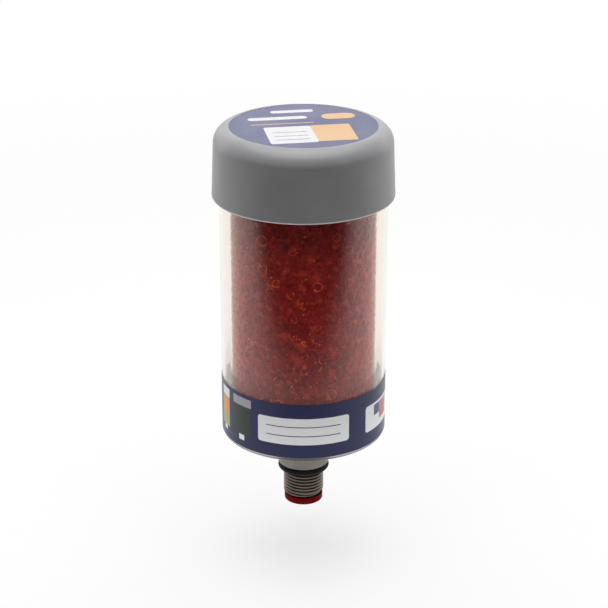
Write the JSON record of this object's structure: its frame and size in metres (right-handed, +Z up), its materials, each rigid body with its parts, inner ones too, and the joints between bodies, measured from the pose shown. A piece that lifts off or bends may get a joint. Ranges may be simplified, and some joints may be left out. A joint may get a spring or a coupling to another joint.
{
  "type": "silica gel breather",
  "caption": "Screw-in desiccant breather: clear casing round a cartridge of silica gel beads, vented under a skirted cap, with a threaded adapter, O-ring and transit plug.",
  "frame": {"origin": "on the axis of the port thread, at the top end of the threaded length, where the port's face meets the O-ring", "axes": "+Z up along the thread axis towards the cap, -Y towards the front of the labels"},
  "size_m": [0.0926, 0.0926, 0.2071],
  "materials": {
    "adapter_metal": "turned, satin, warm grey",
    "plated_steel": "zinc plated",
    "rubber": "smooth black",
    "plug_plastic": "soft red polyethylene",
    "clear_plastic": "clear, polished",
    "inner_plastic": "natural moulded plastic",
    "label_film": "printed navy film",
    "silica_gel": "glossy translucent beads, orange to dark red",
    "filter_felt": "needle felt",
    "foam": "open-cell foam",
    "cap_plastic": "satin moulded grey"
  },
  "bodies": {
    "breather": {"threaded_adapter": "adapter_metal", "port_o_ring": "rubber", "flange_gasket": "rubber", "nut_washer": "plated_steel", "lock_nut": "plated_steel", "casing": "clear_plastic", "wrap_label": "label_film", "cartridge_base": "inner_plastic", "lower_tube_seal": "rubber", "cartridge_tube": "clear_plastic", "lower_grille": "inner_plastic", "lower_filter": "filter_felt", "lower_foam": "foam", "bead_bed": "silica_gel", "upper_foam": "foam", "upper_filter": "filter_felt", "upper_grille": "inner_plastic", "upper_tube_seal": "rubber", "closure": "inner_plastic", "casing_seal": "rubber", "inlet_valves": "rubber", "exhaust_valve": "rubber", "cap": "cap_plastic", "cap_label": "label_film"},
    "transit_plug": {"transit_plug": "plug_plastic"}
  },
  "joints": [
    {"name": "plug_pull", "type": "slide", "parent": "breather", "child": "transit_plug", "axis": [0, 0, -1], "range_m": [0, 0.03]}
  ]
}
